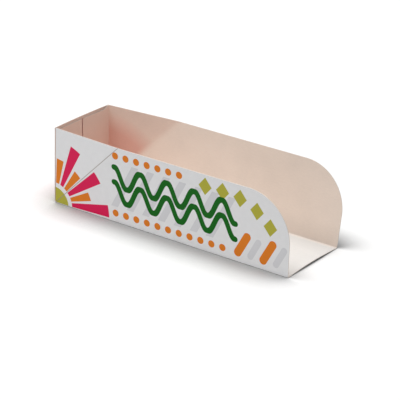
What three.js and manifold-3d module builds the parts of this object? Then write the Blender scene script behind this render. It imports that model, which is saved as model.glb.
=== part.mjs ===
// A hot dog box: an open tray for one bun, folded and glued from a single die-cut blank of paperboard.
// The base, two side walls, the end wall and two glue flaps are panels of that one sheet.
// Each side wall has a 45 degree score near the closed end, so that the empty tray can fold flat.
// Lengths are in millimetres and angles in degrees. X runs to the open end, Y to the back and Z up.
import * as THREE from 'three';
import { mergeVertices } from 'three/addons/utils/BufferGeometryUtils.js';
import Module from 'manifold-3d';

// Panel sizes, from fold line to fold line or from fold line to cut edge.
const BASE_LENGTH = 175;
const BASE_WIDTH = 55;
const WALL_HEIGHT = 50;

// The board, and the way it bends at a fold.
const BOARD_THICKNESS = 0.45;
const INSIDE_BEND_RADIUS = 0.3;
const BEND_SEGMENTS = 6;
const CORNER_RELIEF = 0.4;

// How far each wall leans out of upright.
const FRONT_LEAN = 3;
const BACK_LEAN = 6.5;
const END_LEAN = 1.8;

// The side walls' cut edge at the open end.
const OPEN_EDGE_FLARE = 1.1;
const OPEN_CORNER_RADIUS = 29;
const OPEN_CORNER_SEGMENTS = 28;

// The glue flaps, which lie flat on the inside of the end wall.
const FLAP_GAP = 1;
const FLAP_DROP = 2;
const FLAP_LIFT = 1.5;
const FLAP_SHOULDER = 5;
const GLUE_THICKNESS = 0.05;
const GLUE_MARGIN = 1;

const COATED_WHITE = 0xf1f0ec;
const BOARD_ROUGHNESS = 0.6;

const HALF_BOARD = BOARD_THICKNESS / 2;
const BEND_RADIUS = INSIDE_BEND_RADIUS + HALF_BOARD;
const FLAP_OFFSET = BOARD_THICKNESS + GLUE_THICKNESS;
const MERGE_DISTANCE = 0.0001;

const radians = THREE.MathUtils.degToRad;
const vector = (x, y, z) => new THREE.Vector3(x, y, z);

// A flat panel of the sheet: a corner, two directions in its plane and its printed side's normal.
function panel(origin, along, up, out) {
  const at = (a, u) => origin.clone().addScaledVector(along, a).addScaledVector(up, u);
  const flat = (p) => new THREE.Vector2(p.clone().sub(origin).dot(along), p.clone().sub(origin).dot(up));
  return { origin, along, up, out, at, flat };
}

// The board's middle surface. Each point also has the step from there to the printed face.
const sheet = { points: [], triangles: [] };

function addPoint(middle, step) {
  sheet.points.push({ middle, step });
  return sheet.points.length - 1;
}

function addPanelPoint(face, a, u) {
  return addPoint(face.at(a, u), face.out.clone().multiplyScalar(HALF_BOARD));
}

function addPanelFace(face, loop) {
  const outline = loop.map((i) => face.flat(sheet.points[i].middle));
  if (THREE.ShapeUtils.isClockWise(outline)) {
    outline.reverse();
    loop = [...loop].reverse();
  }
  for (const corners of THREE.ShapeUtils.triangulateShape(outline, [])) {
    sheet.triangles.push(corners.map((c) => loop[c]));
  }
}

// The distance from a fold line to where the bend meets the flat panel.
function tangentLength(outA, outB) {
  return BEND_RADIUS * Math.tan(outA.angleTo(outB) / 2);
}

// A row of points round a bend, from panel A to panel B, at one point of the fold line.
function addBendRow(foldPoint, intoA, outA, outB) {
  const turn = outA.angleTo(outB);
  const axis = outA.clone().cross(outB).normalize();
  const centre = foldPoint.clone()
    .addScaledVector(intoA, tangentLength(outA, outB))
    .addScaledVector(outA, -BEND_RADIUS);
  return Array.from({ length: BEND_SEGMENTS + 1 }, (_, k) => {
    const direction = outA.clone().applyAxisAngle(axis, (turn * k) / BEND_SEGMENTS);
    const middle = centre.clone().addScaledVector(direction, BEND_RADIUS);
    return addPoint(middle, direction.multiplyScalar(HALF_BOARD));
  });
}

function addStrip(rowA, rowB) {
  for (let k = 0; k + 1 < rowA.length; k++) {
    sheet.triangles.push([rowA[k], rowB[k], rowB[k + 1]], [rowA[k], rowB[k + 1], rowA[k + 1]]);
  }
}

// The base's printed side faces down. The end wall folds up from its closed end and leans outwards.
const base = panel(vector(0, 0, 0), vector(1, 0, 0), vector(0, 1, 0), vector(0, 0, -1));
const endLean = radians(END_LEAN);
const endUp = vector(-Math.sin(endLean), 0, Math.cos(endLean));
const endOut = vector(-Math.cos(endLean), 0, -Math.sin(endLean));
const endWall = panel(vector(0, 0, 0), vector(0, 1, 0), endUp, endOut);
const endTangent = tangentLength(base.out, endOut);

// The side walls' folds to their flaps stand inside the end wall by one board and its glue.
const cornerX = FLAP_OFFSET / Math.cos(endLean);

// The panels on one side of the tray. side is -1 for the front and 1 for the back.
function sidePanels(side, leanDegrees) {
  const lean = radians(leanDegrees);
  const corner = vector(cornerX, side < 0 ? 0 : BASE_WIDTH, 0);
  const intoBase = vector(0, -side, 0);
  const wallUp = vector(0, side * Math.sin(lean), Math.cos(lean));
  const wallOut = vector(0, side * Math.cos(lean), -Math.sin(lean));
  const wall = panel(corner, vector(1, 0, 0), wallUp, wallOut);

  // The corner panel turns about the score to meet the end wall at the upright fold.
  const toScoreTop = wall.at(WALL_HEIGHT, WALL_HEIGHT).sub(corner);
  const cornerAlong = toScoreTop.clone().addScaledVector(endUp, -toScoreTop.dot(endUp)).normalize();
  const cornerOut = endUp.clone().cross(cornerAlong).multiplyScalar(side);
  const cornerPanel = panel(corner, cornerAlong, endUp, cornerOut);
  const flap = panel(corner, intoBase, endUp, endOut);

  const sideTangent = tangentLength(base.out, wallOut);
  const flapTangent = tangentLength(cornerOut, endOut);
  const relief = Math.max(sideTangent, flapTangent, endTangent) + CORNER_RELIEF;
  return { wall, cornerPanel, flap, intoBase, toScoreTop, sideTangent, flapTangent, relief };
}

// The score's two ends, where the printed faces of the wall and its corner panel meet in a mitre.
function addScore({ wall, cornerPanel, relief }) {
  const step = wall.out.clone().add(cornerPanel.out).normalize();
  step.multiplyScalar(HALF_BOARD / step.dot(wall.out));
  return [relief, WALL_HEIGHT].map((d) => addPoint(wall.at(d, d), step.clone()));
}

// The open end's cut edge is straight and slightly flared, then rounds over to the wall's top edge.
function addOpenEdge({ wall, sideTangent }) {
  const flare = radians(OPEN_EDGE_FLARE);
  const radius = Math.min(OPEN_CORNER_RADIUS, WALL_HEIGHT - sideTangent - CORNER_RELIEF);
  const centreUp = WALL_HEIGHT - radius;
  const edgeAlong = BASE_LENGTH - cornerX + (centreUp - sideTangent) * Math.tan(flare);
  const centreAlong = edgeAlong - radius / Math.cos(flare);
  return Array.from({ length: OPEN_CORNER_SEGMENTS + 1 }, (_, k) => {
    const angle = -flare + ((Math.PI / 2 + flare) * k) / OPEN_CORNER_SEGMENTS;
    return addPanelPoint(wall, centreAlong + radius * Math.cos(angle), centreUp + radius * Math.sin(angle));
  });
}

function addSideWall(side, score) {
  const { wall, intoBase, relief } = side;
  const startRow = addBendRow(wall.at(relief, 0), intoBase, base.out, wall.out);
  const openRow = addBendRow(wall.at(BASE_LENGTH - cornerX, 0), intoBase, base.out, wall.out);
  addStrip(startRow, openRow);
  addPanelFace(wall, [score[0], startRow.at(-1), openRow.at(-1), ...addOpenEdge(side), score[1]]);
  return { startRow, openRow };
}

// The corner panel's top edge leaves the score at 45 degrees, as the wall's top edge does.
function addCorner({ cornerPanel, toScoreTop, flapTangent, relief }, score) {
  const scoreAngle = endUp.angleTo(toScoreTop);
  const edgeTop = (toScoreTop.length() * Math.SQRT1_2) / Math.sin(0.75 * Math.PI - scoreAngle);
  const foldShare = flapTangent / toScoreTop.dot(cornerPanel.along);
  const foldTop = THREE.MathUtils.lerp(edgeTop, toScoreTop.dot(endUp), foldShare);
  const [lowRow, topRow] = [relief, foldTop].map((u) => (
    addBendRow(cornerPanel.at(0, u), cornerPanel.along, cornerPanel.out, endOut)
  ));
  addStrip(lowRow, topRow);
  addPanelFace(cornerPanel, [score[0], score[1], topRow[0], lowRow[0]]);
  return { lowRow, topRow };
}

// The flap reaches nearly to the middle of the end wall and stops short of its top and bottom.
const flapEnd = (BASE_WIDTH - FLAP_GAP) / 2;
const flapTop = WALL_HEIGHT - FLAP_DROP;

function addGlueFlap({ flap }, { lowRow, topRow }) {
  const rim = [
    [FLAP_SHOULDER, FLAP_LIFT], [flapEnd, FLAP_LIFT], [flapEnd, flapTop], [FLAP_SHOULDER, flapTop],
  ].map(([a, u]) => addPanelPoint(flap, a, u));
  addPanelFace(flap, [lowRow.at(-1), ...rim, topRow.at(-1)]);
}

function addSide(direction, leanDegrees) {
  const side = sidePanels(direction, leanDegrees);
  const score = addScore(side);
  const folds = addSideWall(side, score);
  addGlueFlap(side, addCorner(side, score));
  return { ...side, ...folds };
}

// The end wall's fold stops short of the corners. Above them it is flush with the sides' printed faces.
function addEndWall(front, back) {
  const [frontRow, backRow] = [front.relief, BASE_WIDTH - back.relief].map((y) => (
    addBendRow(endWall.at(y, 0), base.along, base.out, endOut)
  ));
  addStrip(frontRow, backRow);
  const rim = [
    [BASE_WIDTH + HALF_BOARD, back.relief], [BASE_WIDTH + HALF_BOARD, WALL_HEIGHT],
    [-HALF_BOARD, WALL_HEIGHT], [-HALF_BOARD, front.relief],
  ].map(([a, u]) => addPanelPoint(endWall, a, u));
  addPanelFace(endWall, [frontRow.at(-1), backRow.at(-1), ...rim]);
  return { frontRow, backRow };
}

function addBase(front, back, { frontRow, backRow }) {
  addPanelFace(base, [
    front.startRow[0], front.openRow[0], back.openRow[0], back.startRow[0], backRow[0], frontRow[0],
  ]);
}

const front = addSide(-1, FRONT_LEAN);
const back = addSide(1, BACK_LEAN);
addBase(front, back, addEndWall(front, back));

function indexed(positions, triangles) {
  const geometry = new THREE.BufferGeometry();
  geometry.setAttribute('position', new THREE.BufferAttribute(new Float32Array(positions), 3));
  geometry.setIndex(new THREE.BufferAttribute(new Uint32Array(triangles), 1));
  return geometry;
}

// Gives the middle surface its thickness: the printed face, the inside face and the cut edges.
function thicken({ points, triangles }) {
  const printed = points.flatMap(({ middle, step }) => middle.clone().add(step).toArray());
  const inside = points.flatMap(({ middle, step }) => middle.clone().sub(step).toArray());
  const turned = triangles.map(([a, b, c]) => {
    const [p, q, r] = [a, b, c].map((i) => points[i].middle);
    const normal = q.clone().sub(p).cross(r.clone().sub(p));
    return normal.dot(points[a].step) > 0 ? [a, b, c] : [a, c, b];
  });
  const edges = new Map();
  for (const [a, b, c] of turned) {
    for (const [from, to] of [[a, b], [b, c], [c, a]]) edges.set(`${from} ${to}`, [from, to]);
  }
  const under = points.length;
  const faces = turned.flatMap(([a, b, c]) => [a, b, c, a + under, c + under, b + under]);
  for (const [from, to] of edges.values()) {
    if (!edges.has(`${to} ${from}`)) faces.push(from, from + under, to + under, from, to + under, to);
  }
  return indexed([...printed, ...inside], faces);
}

// The pad of dried glue that makes a flap and the end wall one.
function gluePad({ flap }) {
  const width = flapEnd - FLAP_SHOULDER - 2 * GLUE_MARGIN;
  const height = flapTop - FLAP_LIFT - 2 * GLUE_MARGIN;
  const centre = flap.at(FLAP_SHOULDER + GLUE_MARGIN + width / 2, FLAP_LIFT + GLUE_MARGIN + height / 2);
  centre.addScaledVector(endOut, FLAP_OFFSET / 2);
  const pad = new THREE.BoxGeometry(FLAP_OFFSET, width, height);
  pad.applyMatrix4(new THREE.Matrix4().makeBasis(endOut.clone().negate(), endWall.along, endUp));
  return pad.translate(...centre.toArray());
}

const wasm = await Module();
wasm.setup();

function solidOf(geometry) {
  geometry.deleteAttribute('normal');
  geometry.deleteAttribute('uv');
  const merged = mergeVertices(geometry, MERGE_DISTANCE);
  return new wasm.Manifold(new wasm.Mesh({
    numProp: 3,
    vertProperties: merged.getAttribute('position').array,
    triVerts: merged.getIndex().array,
  }));
}

const pads = [front, back].map((side) => solidOf(gluePad(side)));
const glued = solidOf(thicken(sheet)).add(pads[0]).add(pads[1]).getMesh();
const geometry = indexed(glued.vertProperties, glued.triVerts);

// The tray's own origin is on the table, under the middle of its outline.
geometry.computeBoundingBox();
const { min, max } = geometry.boundingBox;
geometry.translate(-(min.x + max.x) / 2, -(min.y + max.y) / 2, -min.z);

const board = new THREE.MeshStandardMaterial({
  color: COATED_WHITE,
  roughness: BOARD_ROUGHNESS,
  metalness: 0,
  flatShading: true,
});
const tray = new THREE.Mesh(geometry, board);
tray.name = 'folded_tray';

const hotDogBox = new THREE.Group();
hotDogBox.add(tray);

export default hotDogBox;
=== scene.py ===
import math

import bmesh
import bpy
import numpy as np
from mathutils import Matrix, Vector


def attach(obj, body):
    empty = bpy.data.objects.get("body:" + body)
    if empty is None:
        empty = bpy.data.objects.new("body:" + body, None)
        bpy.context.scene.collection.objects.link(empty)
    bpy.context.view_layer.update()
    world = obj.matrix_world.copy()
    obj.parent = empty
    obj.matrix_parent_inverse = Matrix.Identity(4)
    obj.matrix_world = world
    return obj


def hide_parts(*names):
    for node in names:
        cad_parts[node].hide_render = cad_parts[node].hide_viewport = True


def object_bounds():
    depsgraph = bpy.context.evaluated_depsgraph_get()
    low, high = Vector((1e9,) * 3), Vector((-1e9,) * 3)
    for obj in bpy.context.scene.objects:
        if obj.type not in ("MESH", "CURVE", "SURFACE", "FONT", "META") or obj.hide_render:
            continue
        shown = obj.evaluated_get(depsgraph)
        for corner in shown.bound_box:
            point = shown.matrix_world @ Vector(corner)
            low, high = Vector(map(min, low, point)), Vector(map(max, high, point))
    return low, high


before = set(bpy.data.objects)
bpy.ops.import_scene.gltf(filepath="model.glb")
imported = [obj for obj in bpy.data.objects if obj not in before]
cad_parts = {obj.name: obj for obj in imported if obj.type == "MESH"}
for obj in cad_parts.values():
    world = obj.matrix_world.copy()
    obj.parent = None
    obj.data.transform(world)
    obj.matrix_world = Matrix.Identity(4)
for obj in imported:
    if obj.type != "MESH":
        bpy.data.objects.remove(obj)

cad_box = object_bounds()

# The blank: one die-cut sheet of solid bleached paperboard, 0.45 mm thick, scored where it will fold.
# Its outline is drawn flat here in millimetres, with the base from (0, 0) to (175, 55). The front wall
# lies at y below 0, the back wall above 55, the end wall at x below 0 and each flap beside its wall.
BASE_LENGTH = 175.0
BASE_WIDTH = 55.0
WALL_HEIGHT = 50.0
BOARD_THICKNESS = 0.45
INSIDE_BEND_RADIUS = 0.3
CORNER_RELIEF = 0.4
FRONT_LEAN = 3.0
BACK_LEAN = 6.5
END_LEAN = 1.8
END_LEAN_AT_FRONT = 0.6
OPEN_EDGE_FLARE = 1.1
OPEN_CORNER_RADIUS = 29.0
OPEN_CORNER_SEGMENTS = 48
FLAP_GAP = 1.0
FLAP_DROP = 2.0
FLAP_LIFT = 1.5
FLAP_SHOULDER = 5.0
GLUE_THICKNESS = 0.05
GRID_STEP = 1.5
BEND_STEPS = 8
SCORE_HALF_WIDTH = 0.8
SCORE_STEPS = 6
MERGE_DISTANCE = 0.0001

# How far a bend reaches on the flat sheet to each side of its fold line, in bend radii.
BEND_REACH_RATIO = 1.06
HALF_BOARD = BOARD_THICKNESS / 2
BEND_RADIUS = INSIDE_BEND_RADIUS + HALF_BOARD
BEND_REACH = BEND_RADIUS * BEND_REACH_RATIO
RELIEF = BEND_REACH + CORNER_RELIEF
CORNER_X = (BOARD_THICKNESS + GLUE_THICKNESS) / math.cos(math.radians(END_LEAN))
FLAP_END = (BASE_WIDTH - FLAP_GAP) / 2


def side_panels(fold_y, away):
    """The outlines of one side wall, its corner panel and its glue flap. away is -1 for the front."""
    flare = math.radians(OPEN_EDGE_FLARE)
    centre_up = WALL_HEIGHT - OPEN_CORNER_RADIUS
    edge_x = BASE_LENGTH + (centre_up - BEND_REACH) * math.tan(flare)
    centre_x = edge_x - OPEN_CORNER_RADIUS / math.cos(flare)
    turn = (math.pi / 2 + flare) / OPEN_CORNER_SEGMENTS
    turns = [turn * k - flare for k in range(OPEN_CORNER_SEGMENTS + 1)]
    arc = [
        (centre_x + OPEN_CORNER_RADIUS * math.cos(t), centre_up + OPEN_CORNER_RADIUS * math.sin(t))
        for t in turns
    ]
    low, high = (CORNER_X + RELIEF, RELIEF), (CORNER_X + WALL_HEIGHT, WALL_HEIGHT)
    wall = [low, (CORNER_X + RELIEF, 0), (BASE_LENGTH, 0), (BASE_LENGTH, BEND_REACH), *arc, high]
    corner = [low, high, (CORNER_X, WALL_HEIGHT), (CORNER_X, RELIEF)]
    flap = [
        (CORNER_X, RELIEF), (CORNER_X, WALL_HEIGHT),
        (CORNER_X - FLAP_SHOULDER, WALL_HEIGHT - FLAP_DROP), (CORNER_X - FLAP_END, WALL_HEIGHT - FLAP_DROP),
        (CORNER_X - FLAP_END, FLAP_LIFT), (CORNER_X - FLAP_SHOULDER, FLAP_LIFT),
    ]
    return [[(x, fold_y + away * up) for x, up in outline] for outline in (wall, corner, flap)]


base_outline = [
    (CORNER_X + RELIEF, 0), (BASE_LENGTH, 0), (BASE_LENGTH, BASE_WIDTH), (CORNER_X + RELIEF, BASE_WIDTH),
    (0, BASE_WIDTH - RELIEF), (0, RELIEF),
]
end_outline = [
    (0, RELIEF), (0, BASE_WIDTH - RELIEF), (-RELIEF, BASE_WIDTH + HALF_BOARD),
    (-WALL_HEIGHT, BASE_WIDTH + HALF_BOARD), (-WALL_HEIGHT, -HALF_BOARD), (-RELIEF, -HALF_BOARD),
]
outlines = [base_outline, end_outline, *side_panels(0, -1), *side_panels(BASE_WIDTH, 1)]

# Every face looks down, because the sheet's printed side lies down when it is flat.
blank = bmesh.new()
for outline in outlines:
    face = blank.faces.new([blank.verts.new((x, y, 0)) for x, y in outline])
    next_corners = outline[1:] + outline[:1]
    twice_area = sum(x0 * y1 - x1 * y0 for (x0, y0), (x1, y1) in zip(outline, next_corners))
    if twice_area > 0:
        face.normal_flip()


def cut_rows(sheet, faces, point, across):
    """Cuts a row of edges through these faces of the sheet, in the plane through point."""
    parts = {part for face in faces for part in (face, *face.edges, *face.verts)}
    bmesh.ops.bisect_plane(sheet, geom=list(parts), dist=MERGE_DISTANCE, plane_co=point, plane_no=across)


bend_rows = [BEND_REACH * (2 * k / BEND_STEPS - 1) for k in range(BEND_STEPS + 1)]
score_rows = [SCORE_HALF_WIDTH * (2 * k / SCORE_STEPS - 1) * math.sqrt(2) for k in range(SCORE_STEPS + 1)]
rows_x = [CORNER_X + s for s in bend_rows + score_rows] + bend_rows
rows_x += list(np.arange(-WALL_HEIGHT + GRID_STEP, BASE_LENGTH, GRID_STEP))
rows_y = [fold + s for s in bend_rows + score_rows for fold in (0, BASE_WIDTH)]
rows_y += list(np.arange(-WALL_HEIGHT + GRID_STEP, BASE_WIDTH + WALL_HEIGHT, GRID_STEP))
for x in rows_x:
    cut_rows(blank, blank.faces, (x, 0, 0), (1, 0, 0))
for y in rows_y:
    cut_rows(blank, blank.faces, (0, y, 0), (0, 1, 0))
for fold_y, away in ((0, -1), (BASE_WIDTH, 1)):
    for offset in score_rows:
        near = [
            f for f in blank.faces
            if (f.calc_center_median().y - fold_y) * away > 0 and f.calc_center_median().x > CORNER_X
        ]
        cut_rows(blank, near, (CORNER_X + offset, fold_y, 0), (1, -away, 0))
bmesh.ops.remove_doubles(blank, verts=blank.verts, dist=MERGE_DISTANCE)

# The print coordinates stay those of the flat sheet, in millimetres.
flat_map = blank.loops.layers.uv.new("blank_mm")
for face in blank.faces:
    for loop in face.loops:
        loop[flat_map].uv = loop.vert.co.xy


# The folds: every panel turns up about its score, and the board goes round a small radius there.
# The side walls' corner panels stay upright with the end wall, and the walls spring out beyond the
# 45 degree scores. The end wall bows out a little, with the two flaps glued on its inside.
END_BOW = 0.6
END_BOW_POWER = 1.5
SCORE_BEAD = 0.07
LIP_LIFT = 1.0
LIP_LENGTH = 35.0
X, Y, Z = np.eye(3)


def smooth(t):
    """Eases t from nought to one, and holds it there."""
    t = np.clip(t, 0, 1)
    return t * t * (3 - 2 * t)


def bend(fold_points, into_a, out_a, out_b, distance):
    """Points round a bend, at this distance past the fold line, from panel A towards panel B."""
    turn = math.acos(np.clip(out_a @ out_b, -1, 1))
    reach = BEND_RADIUS * math.tan(turn / 2)
    angle = (turn * np.clip((distance + BEND_REACH) / (2 * BEND_REACH), 0, 1))[:, None]
    spoke = (np.sin(turn - angle) * out_a + np.sin(angle) * out_b) / math.sin(turn)
    return fold_points + into_a * reach - out_a * BEND_RADIUS + spoke * BEND_RADIUS


def end_wall_up(y):
    """The direction up the end wall, at each distance y from the front."""
    lean = np.radians(END_LEAN_AT_FRONT + (END_LEAN - END_LEAN_AT_FRONT) * np.clip(y / BASE_WIDTH, 0, 1))
    return -np.sin(lean)[..., None] * X + np.cos(lean)[..., None] * Z


def end_wall_out(lean_degrees):
    """The direction that the end wall's outside faces, at this lean."""
    lean = math.radians(lean_degrees)
    return -math.cos(lean) * X - math.sin(lean) * Z


def folded(flat):
    """Where each point of the flat sheet's middle layer goes, in millimetres."""
    x, y = flat[:, 0], flat[:, 1]
    place = flat.copy()
    base_out = -Z

    # The end wall, with its fold. It leans out a little more at the back.
    on_end = (x < BEND_REACH) & (y > -BOARD_THICKNESS) & (y < BASE_WIDTH + BOARD_THICKNESS)
    fold_points = y[:, None] * Y
    leaning = fold_points - x[:, None] * end_wall_up(y)
    bent = bend(fold_points, X, base_out, end_wall_out(END_LEAN), -x)
    end_place = np.where((x > -BEND_REACH)[:, None], bent, leaning)
    place = np.where(on_end[:, None], end_place, place)

    for fold_y, away, lean_degrees in ((0, -1, FRONT_LEAN), (BASE_WIDTH, 1, BACK_LEAN)):
        lean = math.radians(lean_degrees)
        up = (y - fold_y) * away
        along = x - CORNER_X
        into_base = -away * Y
        wall_up = away * math.sin(lean) * Y + math.cos(lean) * Z
        wall_out = away * math.cos(lean) * Y - math.sin(lean) * Z
        corner = CORNER_X * X + fold_y * Y
        end_up = end_wall_up(np.array(fold_y))
        end_out = end_wall_out(END_LEAN if away > 0 else END_LEAN_AT_FRONT)

        # The corner panel runs from the score to the upright fold beside the end wall. How long that
        # fold is comes from the sine rule, because the score stands at 45 degrees to it on the sheet.
        score_step = X + wall_up
        score_angle = math.acos(end_up @ score_step / np.linalg.norm(score_step))
        edge_length = np.linalg.norm(score_step) * math.sqrt(0.5) / math.sin(0.75 * math.pi - score_angle)
        edge_step = end_up * edge_length
        corner_along = score_step - (score_step @ end_up) * end_up
        corner_along /= np.linalg.norm(corner_along)
        corner_out = away * np.cross(end_up, corner_along)
        wall_place = corner + along[:, None] * X + up[:, None] * wall_up
        corner_place = corner + along[:, None] * score_step + (up - along)[:, None] * edge_step
        from_score = (along - up) / math.sqrt(2)
        share = smooth(from_score / (2 * SCORE_HALF_WIDTH) + 0.5)[:, None]
        side_place = corner_place + (wall_place - corner_place) * share
        bead = SCORE_BEAD * np.exp(-((from_score / (SCORE_HALF_WIDTH / 2)) ** 2))
        side_place = side_place - bead[:, None] * wall_out

        # The upright fold and the glue flap beyond it.
        score_rise = score_step @ end_up
        heights = np.where(along > 0, (up - along) * edge_length + along * score_rise, up * edge_length)
        upright = corner + heights[:, None] * end_up
        bent = bend(upright, corner_along, corner_out, end_out, -along)
        flap_y = fold_y + away * along
        flap_place = CORNER_X * X + flap_y[:, None] * Y + heights[:, None] * end_wall_up(flap_y)
        side_place = np.where((along < BEND_REACH)[:, None], bent, side_place)
        side_place = np.where((along < -BEND_REACH)[:, None], flap_place, side_place)

        # The long fold between the base and the wall.
        bent = bend(x[:, None] * X + fold_y * Y, into_base, base_out, wall_out, up)
        on_fold = (along > 0) & (np.abs(up) < BEND_REACH)
        side_place = np.where(on_fold[:, None], bent, side_place)
        on_side = (along > BEND_REACH) & (up > -BEND_REACH) | (up > RELIEF / 2)
        place = np.where(on_side[:, None], side_place, place)

    # The base's free edge at the open end has sprung up a little between the walls.
    on_base = (x > 0) & (y > 0) & (y < BASE_WIDTH)
    across = np.clip((y - BEND_REACH) / (BASE_WIDTH - 2 * BEND_REACH), 0, 1)
    lift = LIP_LIFT * smooth((x - BASE_LENGTH + LIP_LENGTH) / LIP_LENGTH) * np.sin(math.pi * across)
    place = place + np.where(on_base, lift, 0)[:, None] * Z

    # The end wall's bow, which the glued flaps share.
    near_end = smooth((CORNER_X + BEND_REACH - place[:, 0]) / BEND_REACH) * (place[:, 2] > 0)
    across = np.clip(place[:, 1] / BASE_WIDTH, 0, 1)
    rise = (np.clip(place[:, 2], 0, None) / WALL_HEIGHT) ** END_BOW_POWER
    bow = END_BOW * near_end * 4 * across * (1 - across) * rise
    return place + bow[:, None] * end_wall_out(END_LEAN)


# The folded sheet goes where the CAD solid stands, in metres.
MM = 0.001
flat = np.array([v.co for v in blank.verts], float)
place = folded(flat)
end_lean = math.radians(END_LEAN)
front_lean = math.radians(FRONT_LEAN)
low = cad_box[0]
origin = np.array([
    low.x / MM + WALL_HEIGHT * math.sin(end_lean) + HALF_BOARD * math.cos(end_lean),
    low.y / MM + WALL_HEIGHT * math.sin(front_lean) + HALF_BOARD * math.cos(front_lean),
    HALF_BOARD,
])
for vertex, spot in zip(blank.verts, (place + origin) * MM):
    vertex.co = spot
blank.normal_update()
sheet_mesh = bpy.data.meshes.new("middle_layer")
blank.to_mesh(sheet_mesh)
blank.free()
tray = bpy.data.objects.new("paperboard_tray", sheet_mesh)
bpy.context.scene.collection.objects.link(tray)


# The sheet's three faces: the outside has a clay coat, an offset print and a water based varnish, the
# inside is the uncoated back of the board, and the cut edge is bare fibre. Every pattern follows the flat
# sheet, as ink and fibre do, so it runs on round the folds.
def linear(hex_colour):
    """An sRGB hex colour as linear red, green, blue and alpha."""
    channels = [int(hex_colour[i:i + 2], 16) / 255 for i in (1, 3, 5)]
    return (*[c / 12.92 if c <= 0.04045 else ((c + 0.055) / 1.055) ** 2.4 for c in channels], 1)


def add(tree, kind, inputs=None, **settings):
    """Adds a node. An input is a value, one of another node's outputs, or a node, for its first output."""
    node = tree.nodes.new(kind)
    for name, value in settings.items():
        setattr(node, name, value)
    for key, value in (inputs or {}).items():
        if isinstance(value, bpy.types.Node):
            value = value.outputs[0]
        if isinstance(value, bpy.types.NodeSocket):
            tree.links.new(value, node.inputs[key])
        else:
            node.inputs[key].default_value = value
    return node


def sheet_coordinates(tree):
    """The place on the flat sheet in millimetres: x, y, and how far y lies outside the base."""
    on_sheet = add(tree, "ShaderNodeUVMap", uv_map="blank_mm")
    part = add(tree, "ShaderNodeSeparateXYZ", {0: on_sheet})
    off_middle = add(tree, "ShaderNodeMath", {0: part.outputs[1], 1: BASE_WIDTH / 2}, operation="SUBTRACT")
    off_middle = add(tree, "ShaderNodeMath", {0: off_middle}, operation="ABSOLUTE")
    outside_base = add(tree, "ShaderNodeMath", {0: off_middle, 1: BASE_WIDTH / 2}, operation="SUBTRACT")
    return on_sheet, part.outputs[0], outside_base


def new_material(name):
    """A material with an empty node tree, and that tree."""
    material = bpy.data.materials.new(name)
    material.use_nodes = True
    material.node_tree.nodes.clear()
    return material, material.node_tree


# Clay coated, offset printed and varnished board: a smooth semi matt white with clean flat inks, a faint
# mottle where the varnish sank in, and grey hairlines where the scores cracked the coat, darkened with
# painted shade of the scores' grooves. The print is a plain pattern of rays, bars, waves, dots, lozenges
# and strokes. It mirrors from side to side.
COAT_WHITE = "#F0F0F1"
COAT_SUNK = "#E8E8E9"
PALE_GREY = "#DADADD"
OLIVE = "#B6B140"
ORANGE = "#E47F20"
CRIMSON = "#DE1855"
GREEN = "#00620A"
CRACK_AND_GROOVE_SHADE = "#9C9188"
BARE_CLAY = "#DDD8D2"
INK_EDGE = 0.12
COAT_IOR = 1.5
COAT_SPECULAR = 0.12

printed, tree = new_material("clay_coated_varnished_board")
on_sheet, sheet_x, outside_base = sheet_coordinates(tree)

# Along and up the printed band: on the end wall these are taken from its own two folds.
side_along = add(tree, "ShaderNodeMath", {0: sheet_x, 1: CORNER_X}, operation="SUBTRACT")
side_at = add(tree, "ShaderNodeCombineXYZ", {0: side_along, 1: outside_base})
up_end_wall = add(tree, "ShaderNodeMath", {0: sheet_x, 1: -1.0}, operation="MULTIPLY")
end_at = add(tree, "ShaderNodeCombineXYZ", {0: outside_base, 1: up_end_wall})
on_end = add(tree, "ShaderNodeMath", {0: sheet_x, 1: 0.0}, operation="LESS_THAN")
print_at = add(tree, "ShaderNodeMix", {0: on_end, 4: side_at, 5: end_at}, data_type="VECTOR").outputs[1]
band = add(tree, "ShaderNodeSeparateXYZ", {0: print_at})
along, height = band.outputs[0], band.outputs[1]


def overlap(tree, *distances):
    """The distance to where all these shapes overlap. A distance is below nought inside its shape."""
    result = distances[0]
    for other in distances[1:]:
        result = add(tree, "ShaderNodeMath", {0: result, 1: other}, operation="MAXIMUM")
    return result


def either(tree, *distances):
    """The distance to the nearest of these shapes."""
    result = distances[0]
    for other in distances[1:]:
        result = add(tree, "ShaderNodeMath", {0: result, 1: other}, operation="MINIMUM")
    return result


def between(tree, value, low, high):
    """How far a value lies outside low to high. It is below nought inside."""
    outside = add(tree, "ShaderNodeMath", {0: value, 1: (low + high) / 2}, operation="SUBTRACT")
    outside = add(tree, "ShaderNodeMath", {0: outside}, operation="ABSOLUTE")
    return add(tree, "ShaderNodeMath", {0: outside, 1: (high - low) / 2}, operation="SUBTRACT")


def stroke(tree, at, start, end, width):
    """The distance in millimetres from a round ended stroke of ink."""
    way = Vector((*end, 0)) - Vector((*start, 0))
    gap = add(tree, "ShaderNodeVectorMath", {0: at, 1: (*start, 0)}, operation="SUBTRACT")
    aim = tuple(way / way.length_squared)
    share = add(tree, "ShaderNodeVectorMath", {0: gap, 1: aim}, operation="DOT_PRODUCT").outputs["Value"]
    share = add(tree, "ShaderNodeClamp", {0: share})
    foot = add(tree, "ShaderNodeVectorMath", {0: tuple(way), "Scale": share}, operation="SCALE")
    outside = add(tree, "ShaderNodeVectorMath", {0: gap, 1: foot}, operation="DISTANCE").outputs["Value"]
    return add(tree, "ShaderNodeMath", {0: outside, 1: width / 2}, operation="SUBTRACT")


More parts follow.
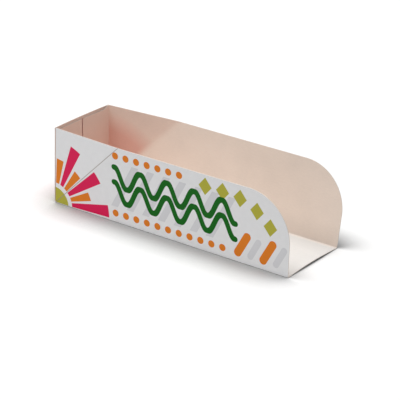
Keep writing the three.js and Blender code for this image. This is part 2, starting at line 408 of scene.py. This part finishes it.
def lozenge(tree, at, centre, half_length, half_height):
    """The distance from an upright lozenge."""
    gap = add(tree, "ShaderNodeVectorMath", {0: at, 1: (*centre, 0)}, operation="SUBTRACT")
    gap = add(tree, "ShaderNodeVectorMath", {0: gap}, operation="ABSOLUTE")
    side = math.hypot(half_length, half_height)
    facing = (half_height / side, half_length / side, 0)
    outside = add(tree, "ShaderNodeVectorMath", {0: gap, 1: facing}, operation="DOT_PRODUCT")
    return add(tree, "ShaderNodeMath", {
        0: outside.outputs["Value"], 1: half_length * half_height / side,
    }, operation="SUBTRACT")


# The rays stand round the bottom corner at the closed end, long and short in turn. The two fans on the
# end wall stop short of its middle.
RAY_COUNT = 6
CORE_RADIUS = 10.5
RAY_START = 13.5
LONG_RAY = 43.0
SHORT_RAY = 30.0
RAY_HALF_ANGLE = 0.096
FAN_FOOT = 0.4
FAN_GAP = 3.5
below_foot = add(tree, "ShaderNodeMath", {0: FAN_FOOT, 1: height}, operation="SUBTRACT")
past_middle = add(tree, "ShaderNodeMath", {
    0: FAN_GAP / 2 - BASE_WIDTH / 2, 1: outside_base,
}, operation="SUBTRACT")
radius = add(tree, "ShaderNodeVectorMath", {0: print_at}, operation="LENGTH").outputs["Value"]
angle = add(tree, "ShaderNodeMath", {0: height, 1: along}, operation="ARCTAN2")
ray_step = math.pi / RAY_COUNT
rays = []
for first_angle, ray_end in ((ray_step / 4, LONG_RAY), (ray_step * 3 / 4, SHORT_RAY)):
    off_ray = add(tree, "ShaderNodeMath", {0: angle, 1: first_angle}, operation="SUBTRACT")
    off_ray = add(tree, "ShaderNodeMath", {0: off_ray, 1: ray_step / 2}, operation="PINGPONG")
    off_ray = add(tree, "ShaderNodeMath", {0: off_ray, 1: RAY_HALF_ANGLE}, operation="SUBTRACT")
    off_ray = add(tree, "ShaderNodeMath", {0: off_ray, 1: radius}, operation="MULTIPLY")
    ray_length = between(tree, radius, RAY_START, ray_end)
    rays.append(overlap(tree, off_ray, ray_length, below_foot, past_middle))
long_rays, short_rays = rays
core = add(tree, "ShaderNodeMath", {0: radius, 1: CORE_RADIUS}, operation="SUBTRACT")
core = overlap(tree, core, below_foot)

# Slanted pale bars behind the middle of each side, cut off level at top and bottom.
BAR_SPACING = 10.5
BAR_WIDTH = 4.6
BAR_LEAN = math.radians(62)
FIRST_BAR = 3
LAST_BAR = 9
BARS_LOW = 10.5
BARS_HIGH = 40.5
across_bars = (math.sin(BAR_LEAN), -math.cos(BAR_LEAN), 0)
bars = add(tree, "ShaderNodeVectorMath", {0: print_at, 1: across_bars}, operation="DOT_PRODUCT")
bars = bars.outputs["Value"]
bar_row = between(tree, bars, FIRST_BAR * BAR_SPACING, (LAST_BAR + 1) * BAR_SPACING)
bars = add(tree, "ShaderNodeMath", {0: bars, 1: BAR_SPACING}, operation="FLOORED_MODULO")
bars = between(tree, bars, (BAR_SPACING - BAR_WIDTH) / 2, (BAR_SPACING + BAR_WIDTH) / 2)
bars = overlap(tree, bars, bar_row, between(tree, height, BARS_LOW, BARS_HIGH))

# Two green waves run side by side through the middle of each side, with round ends. The height above a
# wave is made less where the wave is steep, so that the line keeps its width.
WAVE_FROM = 47.0
WAVE_TO = 137.0
WAVE_COUNT = 4.5
WAVE_HEIGHT = 25.5
WAVE_GAP = 10.0
WAVE_SWING = 6.4
WAVE_WIDTH = 3.7
wave_rate = 2 * math.pi * WAVE_COUNT / (WAVE_TO - WAVE_FROM)
phase = add(tree, "ShaderNodeMath", {0: along, 1: WAVE_FROM}, operation="SUBTRACT")
phase = add(tree, "ShaderNodeMath", {0: phase, 1: wave_rate}, operation="MULTIPLY")
swing = add(tree, "ShaderNodeMath", {0: phase}, operation="COSINE")
middle = add(tree, "ShaderNodeMath", {0: swing, 1: WAVE_SWING, 2: WAVE_HEIGHT}, operation="MULTIPLY_ADD")
off_wave = add(tree, "ShaderNodeMath", {0: height, 1: middle}, operation="SUBTRACT")
off_wave = add(tree, "ShaderNodeMath", {0: off_wave}, operation="ABSOLUTE")
off_wave = add(tree, "ShaderNodeMath", {0: off_wave, 1: WAVE_GAP / 2}, operation="SUBTRACT")
off_wave = add(tree, "ShaderNodeMath", {0: off_wave}, operation="ABSOLUTE")
slope = add(tree, "ShaderNodeMath", {0: phase}, operation="SINE")
slope = add(tree, "ShaderNodeMath", {0: slope, 1: WAVE_SWING * wave_rate}, operation="MULTIPLY")
slope = add(tree, "ShaderNodeMath", {0: slope, 1: slope, 2: 1.0}, operation="MULTIPLY_ADD")
slope = add(tree, "ShaderNodeMath", {0: slope}, operation="SQRT")
off_wave = add(tree, "ShaderNodeMath", {0: off_wave, 1: slope}, operation="DIVIDE")
off_wave = add(tree, "ShaderNodeMath", {0: off_wave, 1: WAVE_WIDTH / 2}, operation="SUBTRACT")
waves = overlap(tree, off_wave, between(tree, along, WAVE_FROM, WAVE_TO))
for end, end_height in ((WAVE_FROM, WAVE_HEIGHT + WAVE_SWING), (WAVE_TO, WAVE_HEIGHT - WAVE_SWING)):
    for up in (-WAVE_GAP / 2, WAVE_GAP / 2):
        tip = (end, end_height + up, 0)
        off_tip = add(tree, "ShaderNodeVectorMath", {0: print_at, 1: tip}, operation="DISTANCE")
        off_tip = add(tree, "ShaderNodeMath", {
            0: off_tip.outputs["Value"], 1: WAVE_WIDTH / 2,
        }, operation="SUBTRACT")
        waves = either(tree, waves, off_tip)

# A row of dots under the waves and a shorter one above them. Each row has its height and its last dot.
DOT_SPACING = 8.0
DOT_RADIUS = 2.3
FIRST_DOT = 6
DOT_ROWS = ((6.0, 16), (44.5, 12))
off_dot = add(tree, "ShaderNodeMath", {0: along, 1: DOT_SPACING / 2}, operation="PINGPONG")
dot_rows = []
for row_height, last_dot in DOT_ROWS:
    off_row = add(tree, "ShaderNodeMath", {0: height, 1: row_height}, operation="SUBTRACT")
    dot_at = add(tree, "ShaderNodeCombineXYZ", {0: off_dot, 1: off_row})
    dot = add(tree, "ShaderNodeVectorMath", {0: dot_at}, operation="LENGTH").outputs["Value"]
    dot = add(tree, "ShaderNodeMath", {0: dot, 1: DOT_RADIUS}, operation="SUBTRACT")
    row_ends = between(tree, along, (FIRST_DOT - 0.5) * DOT_SPACING, (last_dot + 0.5) * DOT_SPACING)
    dot_rows.append(overlap(tree, dot, row_ends))
dots = either(tree, *dot_rows)

# Two broad orange strokes and two thinner grey ones beside the open end: each pair has its feet, how far
# its strokes reach along and up, and their width.
STROKE_FOOT = 6.0
STROKE_PAIRS = (((139.0, 157.0), 6.5, 12.0, 5.2), ((148.0, 166.0), 5.5, 10.5, 4.2))
stroke_pairs = []
for feet, reach, rise, width in STROKE_PAIRS:
    pair = [
        stroke(tree, print_at, (foot, STROKE_FOOT), (foot + reach, STROKE_FOOT + rise), width)
        for foot in feet
    ]
    stroke_pairs.append(either(tree, *pair))
orange_strokes, grey_strokes = stroke_pairs

# A line of lozenges follows the round corner, and one lozenge stands high on the end wall.
LOZENGE_HALF = (4.7, 5.7)
SIDE_LOZENGES = ((115, 42.5), (127.5, 42.5), (140, 41.5), (152, 36.5), (161.5, 28.5))
END_LOZENGE = (-BASE_WIDTH / 2, 42)
lozenges = [lozenge(tree, print_at, centre, *LOZENGE_HALF) for centre in (*SIDE_LOZENGES, END_LOZENGE)]
lozenges = either(tree, *lozenges)

# The scores crack the coat in a hairline, and its dark grey is also painted shade in the score's groove.
# Half a millimetre is drawn, as the real width wouldn't show.
CRACK_WIDTH = 0.5
CRACK_COVER = 0.8
off_score = add(tree, "ShaderNodeMath", {0: along, 1: height}, operation="SUBTRACT")
off_score = add(tree, "ShaderNodeMath", {0: off_score}, operation="ABSOLUTE")
off_score = add(tree, "ShaderNodeMath", {0: off_score, 1: math.sqrt(2)}, operation="DIVIDE")
crack = add(tree, "ShaderNodeMath", {0: off_score, 1: CRACK_WIDTH / 2}, operation="SUBTRACT")

# The varnish sinks in unevenly, in patches of about 4 mm, and the fibres under the coat lift it in spots
# of about 0.8 mm. Nearly all of a noise lies in the spread.
PATCHES_PER_MM = 0.25
COAT_SPOTS_PER_MM = 1.3
NOISE_SPREAD = (0.3, 0.7)
patches = add(tree, "ShaderNodeTexNoise", {"Vector": on_sheet, "Scale": PATCHES_PER_MM, "Detail": 4.0})
spots = add(tree, "ShaderNodeTexNoise", {"Vector": on_sheet, "Scale": COAT_SPOTS_PER_MM, "Detail": 3.0})
colour = add(tree, "ShaderNodeMix", {
    0: patches, 6: linear(COAT_SUNK), 7: linear(COAT_WHITE),
}, data_type="RGBA").outputs[2]

# The inks go on in this order.
inks = [
    (bars, PALE_GREY), (grey_strokes, PALE_GREY), (short_rays, ORANGE), (long_rays, CRIMSON),
    (core, OLIVE), (lozenges, OLIVE), (either(tree, dots, orange_strokes), ORANGE), (waves, GREEN),
]
for distance, ink in inks:
    cover = add(tree, "ShaderNodeMapRange", {0: distance, 1: INK_EDGE / 2, 2: -INK_EDGE / 2, 3: 0.0, 4: 1.0})
    colour = add(tree, "ShaderNodeMix", {0: cover, 6: colour, 7: linear(ink)}, data_type="RGBA").outputs[2]
cover = add(tree, "ShaderNodeMapRange", {0: crack, 1: INK_EDGE, 2: -INK_EDGE, 3: 0.0, 4: CRACK_COVER})
colour = add(tree, "ShaderNodeMix", {
    0: cover, 6: colour, 7: linear(CRACK_AND_GROOVE_SHADE),
}, data_type="RGBA").outputs[2]

# Where the board is folded square, the ink has flaked off the bend in specks.
SPECKS_PER_MM = 0.9
SPECK_NOISE = (0.52, 0.6)
SPECK_COVER = 0.5
SPECKS_FROM_FOLD = (0.3, 0.8)
to_long_fold = add(tree, "ShaderNodeMath", {0: outside_base}, operation="ABSOLUTE")
to_upright_fold = add(tree, "ShaderNodeMath", {0: side_along}, operation="ABSOLUTE")
to_fold = either(tree, to_long_fold, to_upright_fold)
specks = add(tree, "ShaderNodeTexNoise", {
    "Vector": on_sheet, "Scale": SPECKS_PER_MM, "Detail": 6.0, "Roughness": 0.8,
})
specks = add(tree, "ShaderNodeMapRange", {
    0: specks, 1: SPECK_NOISE[0], 2: SPECK_NOISE[1], 3: 0.0, 4: SPECK_COVER,
})
by_fold = add(tree, "ShaderNodeMapRange", {
    0: to_fold, 1: SPECKS_FROM_FOLD[1], 2: SPECKS_FROM_FOLD[0], 3: 0.0, 4: 1.0,
})
flaked = add(tree, "ShaderNodeMath", {0: specks, 1: by_fold}, operation="MULTIPLY")
colour = add(tree, "ShaderNodeMix", {
    0: flaked, 6: colour, 7: linear(BARE_CLAY),
}, data_type="RGBA").outputs[2]

# The varnish is semi matt, and glossier in the patches where it lies on top. Reliefs are in metres.
COAT_ROUGHNESS = (0.38, 0.47)
COAT_RELIEF = 0.0002
COAT_RELIEF_STRENGTH = 0.12
roughness = add(tree, "ShaderNodeMapRange", {
    0: patches, 1: NOISE_SPREAD[0], 2: NOISE_SPREAD[1], 3: COAT_ROUGHNESS[0], 4: COAT_ROUGHNESS[1],
})
relief = add(tree, "ShaderNodeBump", {
    "Height": spots, "Strength": COAT_RELIEF_STRENGTH, "Distance": COAT_RELIEF,
})
shader = add(tree, "ShaderNodeBsdfPrincipled", {
    "Base Color": colour, "Roughness": roughness, "IOR": COAT_IOR, "Specular IOR Level": COAT_SPECULAR,
    "Normal": relief,
})
add(tree, "ShaderNodeOutputMaterial", {"Surface": shader})


# The uncoated back of the board: bleached wood fibre, pressed but not coated, which the eye sees as dull,
# soft and warm. Its clumps of fibre are about 0.3 mm wide and lie along the sheet. They are drawn three
# times too coarse, so that they show. The board is pinker at the closed end, and deepest low in the
# corners, where the pink is also painted shade and bounced light.
INSIDE_BASE = "#E2E0DD"
BASE_CLOSED_END = "#F0E2D7"
INSIDE_WALL = "#FFEFE2"
WALL_AT_OPENING = "#F6E6D9"
CLOSED_END_PINK_AND_SHADE = "#F4C2B4"
CLUMPS_PER_MM = 1.1
CLUMP_STRETCH = (0.35, 1.0, 1.0)
CLUMP_SHADES = (0.965, 1.02)
CLOUDS_PER_MM = 0.06
CLOUD_SHADES = (0.97, 1.02)
BACK_IOR = 1.45
BACK_ROUGHNESS = 0.82
BACK_RELIEF = 0.0002
BACK_RELIEF_STRENGTH = 0.25

inside, tree = new_material("uncoated_board_back")
on_sheet, sheet_x, outside_base = sheet_coordinates(tree)
grain_at = add(tree, "ShaderNodeVectorMath", {0: on_sheet, 1: CLUMP_STRETCH}, operation="MULTIPLY")
clumps = add(tree, "ShaderNodeTexNoise", {
    "Vector": grain_at, "Scale": CLUMPS_PER_MM, "Detail": 5.0, "Roughness": 0.75,
})
clouds = add(tree, "ShaderNodeTexNoise", {
    "Vector": on_sheet, "Scale": CLOUDS_PER_MM, "Detail": 3.0, "Roughness": 0.5,
})

# The base is warmer towards the closed end, and the walls are duller towards the opening. The base and
# the walls are one board, so the base's greyer colour and the walls' paler one are partly painted shade and
# painted light. The ranges are millimetres along the sheet, or out from the base's edge.
WALL_RANGE = (-4.0, 3.0)
CLOSED_END_RANGE = (95.0, 15.0)
OPENING_RANGE = (70.0, BASE_LENGTH)
on_wall = add(tree, "ShaderNodeMapRange", {
    0: outside_base, 1: WALL_RANGE[0], 2: WALL_RANGE[1],
}, interpolation_type="SMOOTHSTEP")
at_end = add(tree, "ShaderNodeMapRange", {
    0: sheet_x, 1: CLOSED_END_RANGE[0], 2: CLOSED_END_RANGE[1],
}, interpolation_type="SMOOTHSTEP")
toward_opening = add(tree, "ShaderNodeMapRange", {
    0: sheet_x, 1: OPENING_RANGE[0], 2: OPENING_RANGE[1],
}, interpolation_type="SMOOTHSTEP")
base = add(tree, "ShaderNodeMix", {
    0: at_end, 6: linear(INSIDE_BASE), 7: linear(BASE_CLOSED_END),
}, data_type="RGBA").outputs[2]
wall = add(tree, "ShaderNodeMix", {
    0: toward_opening, 6: linear(INSIDE_WALL), 7: linear(WALL_AT_OPENING),
}, data_type="RGBA").outputs[2]
colour = add(tree, "ShaderNodeMix", {0: on_wall, 6: base, 7: wall}, data_type="RGBA").outputs[2]

# The corner panels, up to their scores, and the end wall are pinker, most of all low in the corners, where
# the deeper pink is painted shade and bounced light.
SCORE_RANGE = (-6.0, 3.0)
CORNER_RANGE = (33.0, 46.0)
CORNER_TINT_AND_SHADE = (1.0, 0.2)
END_RANGE = (8.0, 48.0)
END_TINT_AND_SHADE = (0.8, 0.45)
past_score = add(tree, "ShaderNodeMath", {0: outside_base, 1: sheet_x}, operation="SUBTRACT")
past_score = add(tree, "ShaderNodeMapRange", {
    0: past_score, 1: SCORE_RANGE[0], 2: SCORE_RANGE[1],
}, interpolation_type="SMOOTHSTEP")
on_corner = add(tree, "ShaderNodeMath", {0: past_score, 1: on_wall}, operation="MULTIPLY")
from_corner = add(tree, "ShaderNodeCombineXYZ", {0: sheet_x, 1: outside_base})
from_corner = add(tree, "ShaderNodeVectorMath", {0: from_corner}, operation="LENGTH").outputs["Value"]
corner_tint_and_shade = add(tree, "ShaderNodeMapRange", {
    0: from_corner, 1: CORNER_RANGE[0], 2: CORNER_RANGE[1], 3: CORNER_TINT_AND_SHADE[0], 4: CORNER_TINT_AND_SHADE[1],
})
corner_tint_and_shade = add(tree, "ShaderNodeMath", {0: corner_tint_and_shade, 1: on_corner}, operation="MULTIPLY")
past_end_fold = add(tree, "ShaderNodeMath", {0: sheet_x, 1: 0.0}, operation="LESS_THAN")
up_end_wall = add(tree, "ShaderNodeMath", {0: sheet_x, 1: -1.0}, operation="MULTIPLY")
height = add(tree, "ShaderNodeMath", {0: outside_base, 1: up_end_wall}, operation="MAXIMUM")
end_tint_and_shade = add(tree, "ShaderNodeMapRange", {
    0: height, 1: END_RANGE[0], 2: END_RANGE[1], 3: END_TINT_AND_SHADE[0], 4: END_TINT_AND_SHADE[1],
})
tint = add(tree, "ShaderNodeMix", {0: past_end_fold, 2: corner_tint_and_shade, 3: end_tint_and_shade})
colour = add(tree, "ShaderNodeMix", {
    0: tint, 6: colour, 7: linear(CLOSED_END_PINK_AND_SHADE),
}, data_type="RGBA").outputs[2]

# Clumps and soft clouds vary the tone, and near the long fold under the back wall the board is painted
# darker, as painted shade.
BACK_FOLD_PAINTED_SHADE = 0.84
BACK_FOLD_SHADE_REACH = 18.0
shade = add(tree, "ShaderNodeMapRange", {
    0: clumps, 1: NOISE_SPREAD[0], 2: NOISE_SPREAD[1], 3: CLUMP_SHADES[0], 4: CLUMP_SHADES[1],
})
soft_shade = add(tree, "ShaderNodeMapRange", {
    0: clouds, 1: NOISE_SPREAD[0], 2: NOISE_SPREAD[1], 3: CLOUD_SHADES[0], 4: CLOUD_SHADES[1],
})
shade = add(tree, "ShaderNodeMath", {0: shade, 1: soft_shade}, operation="MULTIPLY")
sheet_y = add(tree, "ShaderNodeSeparateXYZ", {0: on_sheet}).outputs[1]
off_back_fold = add(tree, "ShaderNodeMath", {0: sheet_y, 1: BASE_WIDTH}, operation="SUBTRACT")
off_back_fold = add(tree, "ShaderNodeMath", {0: off_back_fold}, operation="ABSOLUTE")
back_fold_painted_shade = add(tree, "ShaderNodeMapRange", {
    0: off_back_fold, 1: 0.0, 2: BACK_FOLD_SHADE_REACH, 3: BACK_FOLD_PAINTED_SHADE, 4: 1.0,
}, interpolation_type="SMOOTHSTEP")
shade = add(tree, "ShaderNodeMath", {0: shade, 1: back_fold_painted_shade}, operation="MULTIPLY")
colour = add(tree, "ShaderNodeVectorMath", {0: colour, "Scale": shade}, operation="SCALE")
relief = add(tree, "ShaderNodeBump", {
    "Height": clumps, "Strength": BACK_RELIEF_STRENGTH, "Distance": BACK_RELIEF,
})
shader = add(tree, "ShaderNodeBsdfPrincipled", {
    "Base Color": colour, "Roughness": BACK_ROUGHNESS, "IOR": BACK_IOR, "Normal": relief,
})
add(tree, "ShaderNodeOutputMaterial", {"Surface": shader})


# The die-cut edge: torn fibre in thin layers, which looks dull and a little darker than the coat. At the
# glue flaps' ends the cut is a dark crimson brown, which is painted shade in the slit between the flaps.
EDGE_DARK = "#D6CBC1"
EDGE_PALE = "#EEE7E0"
SLIT_SHADE_EDGE = "#C4827E"
EDGE_FIBRES_PER_MM = 2.0
EDGE_ROUGHNESS = 0.9
EDGE_RELIEF = 0.0001
EDGE_RELIEF_STRENGTH = 0.4
SLIT_SHADE_LENGTH = 0.7
FLAP_FOOT = 1.0

edge, tree = new_material("die_cut_fibre_edge")
on_sheet, sheet_x, outside_base = sheet_coordinates(tree)
fibres = add(tree, "ShaderNodeTexNoise", {
    "Vector": on_sheet, "Scale": EDGE_FIBRES_PER_MM, "Detail": 4.0, "Roughness": 0.8,
})
at_flap_end = add(tree, "ShaderNodeMath", {
    0: sheet_x, 1: CORNER_X - FLAP_END + SLIT_SHADE_LENGTH,
}, operation="LESS_THAN")
on_flap = add(tree, "ShaderNodeMath", {0: outside_base, 1: FLAP_FOOT}, operation="GREATER_THAN")
in_slit_shade = add(tree, "ShaderNodeMath", {0: at_flap_end, 1: on_flap}, operation="MULTIPLY")
colour = add(tree, "ShaderNodeMix", {
    0: fibres, 6: linear(EDGE_DARK), 7: linear(EDGE_PALE),
}, data_type="RGBA").outputs[2]
colour = add(tree, "ShaderNodeMix", {
    0: in_slit_shade, 6: colour, 7: linear(SLIT_SHADE_EDGE),
}, data_type="RGBA").outputs[2]
relief = add(tree, "ShaderNodeBump", {
    "Height": fibres, "Strength": EDGE_RELIEF_STRENGTH, "Distance": EDGE_RELIEF,
})
shader = add(tree, "ShaderNodeBsdfPrincipled", {
    "Base Color": colour, "Roughness": EDGE_ROUGHNESS, "IOR": BACK_IOR, "Normal": relief,
})
add(tree, "ShaderNodeOutputMaterial", {"Surface": shader})


# The folded tray itself: the middle layer gets the board's real thickness, with the coat outside, the
# uncoated back inside and bare fibre round the cut. It stands for the CAD's solid.
SHARPEST_BEND = math.radians(35)
for material in (printed, inside, edge):
    sheet_mesh.materials.append(material)
thickness = tray.modifiers.new("board_thickness", "SOLIDIFY")
thickness.thickness = BOARD_THICKNESS * MM
thickness.offset = 0
thickness.material_offset = 1
thickness.material_offset_rim = 2
solid_mesh = bpy.data.meshes.new_from_object(tray.evaluated_get(bpy.context.evaluated_depsgraph_get()))
tray.modifiers.clear()
tray.data = solid_mesh
bpy.data.meshes.remove(sheet_mesh)
solid_mesh.shade_smooth()
solid_mesh.set_sharp_from_angle(angle=SHARPEST_BEND)
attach(tray, "root")
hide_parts("folded_tray")


# The table: a plain white sweep of painted board, which isn't part of the tray. It is white to the eye
# and a little darker to light that spreads, and it keeps the tray's shadow, deepest where they meet.
FLOOR_HALF = 3.0
FLOOR_SPREAD = 0.85
CONTACT_REACH = 0.033
CONTACT_RANGE = (0.52, 0.97)
CONTACT_SHADE = 0.38


def seen_plainly(tree):
    """One for rays from the camera, or by way of gloss or glass, and nought for light that spreads."""
    path = add(tree, "ShaderNodeLightPath")
    sharp = add(tree, "ShaderNodeMath", {
        0: path.outputs["Is Glossy Ray"], 1: path.outputs["Is Transmission Ray"],
    }, operation="MAXIMUM")
    return add(tree, "ShaderNodeMath", {0: path.outputs["Is Camera Ray"], 1: sharp}, operation="MAXIMUM")


floor_mesh = bpy.data.meshes.new("table")
corners = [(x * FLOOR_HALF, y * FLOOR_HALF, 0) for x, y in ((-1, -1), (1, -1), (1, 1), (-1, 1))]
floor_mesh.from_pydata(corners, [], [(0, 1, 2, 3)])
floor = bpy.data.objects.new("table", floor_mesh)
bpy.context.scene.collection.objects.link(floor)
white_table, tree = new_material("white_table")
in_view = seen_plainly(tree)
contact = add(tree, "ShaderNodeAmbientOcclusion", {"Distance": CONTACT_REACH}, samples=12, only_local=False)
contact = add(tree, "ShaderNodeMapRange", {
    0: contact.outputs["AO"], 1: CONTACT_RANGE[0], 2: CONTACT_RANGE[1], 3: CONTACT_SHADE, 4: 1.0,
})
tone = add(tree, "ShaderNodeMix", {0: in_view, 2: FLOOR_SPREAD, 3: contact})
surface = add(tree, "ShaderNodeBsdfDiffuse", {"Color": tone})
add(tree, "ShaderNodeOutputMaterial", {"Surface": surface})
floor_mesh.materials.append(white_table)


# The light: a broad soft box overhead and an even fill from all round. The background is full white to
# the camera, and the fill on the tray is weaker.
FILL_STRENGTH = 0.34
SOFT_BOX_SIZE = 2.1
SOFT_BOX_POWER = 86
SOFT_BOX_PLACE = (-1.0, -0.36, 3.0)
world = bpy.data.worlds.new("studio")
bpy.context.scene.world = world
world.use_nodes = True
tree = world.node_tree
tree.nodes.clear()
in_view = seen_plainly(tree)
level = add(tree, "ShaderNodeMix", {0: in_view, 2: FILL_STRENGTH, 3: 1.0})
sky = add(tree, "ShaderNodeBackground", {"Color": (1, 1, 1, 1), "Strength": level})
add(tree, "ShaderNodeOutputWorld", {"Surface": sky})

lamp_data = bpy.data.lights.new("overhead_soft_box", "AREA")
lamp_data.shape = "DISK"
lamp_data.size = SOFT_BOX_SIZE
lamp_data.energy = SOFT_BOX_POWER
lamp = bpy.data.objects.new("overhead_soft_box", lamp_data)
lamp.location = SOFT_BOX_PLACE
lamp.rotation_mode = "QUATERNION"
lamp.rotation_quaternion = Vector(SOFT_BOX_PLACE).to_track_quat("Z", "Y")
bpy.context.scene.collection.objects.link(lamp)


# The camera: a long lens, placed by the tray's edges in the photograph. Its angles are in degrees, and
# its place is in millimetres from where the folds of the base meet at the front of the closed end.
CAMERA_YAW = -34.209
CAMERA_PITCH = 22.737
CAMERA_ROLL = 2.443
FOCAL_PIXELS = 1856.8
FRAME_PIXELS = 400
SENSOR_WIDTH = 36.0
CAMERA_FROM_CORNER = (683.4, -842.5, 458.5)
yaw, pitch, roll = (math.radians(a) for a in (CAMERA_YAW, CAMERA_PITCH, CAMERA_ROLL))
forward = Vector((math.sin(yaw) * math.cos(pitch), math.cos(yaw) * math.cos(pitch), -math.sin(pitch)))
level_right = Vector((math.cos(yaw), -math.sin(yaw), 0))
level_up = level_right.cross(forward)
right = level_right * math.cos(roll) + level_up * math.sin(roll)
upward = level_up * math.cos(roll) - level_right * math.sin(roll)
camera_data = bpy.data.cameras.new("camera")
camera_data.sensor_width = SENSOR_WIDTH
camera_data.lens = FOCAL_PIXELS / FRAME_PIXELS * SENSOR_WIDTH
camera = bpy.data.objects.new("camera", camera_data)
facing = Matrix((right, upward, -forward)).transposed().to_4x4()
camera.matrix_world = Matrix.Translation(Vector(CAMERA_FROM_CORNER) * MM + Vector(origin) * MM) @ facing
bpy.context.scene.collection.objects.link(camera)
bpy.context.scene.camera = camera

bpy.context.scene.view_settings.view_transform = "Standard"
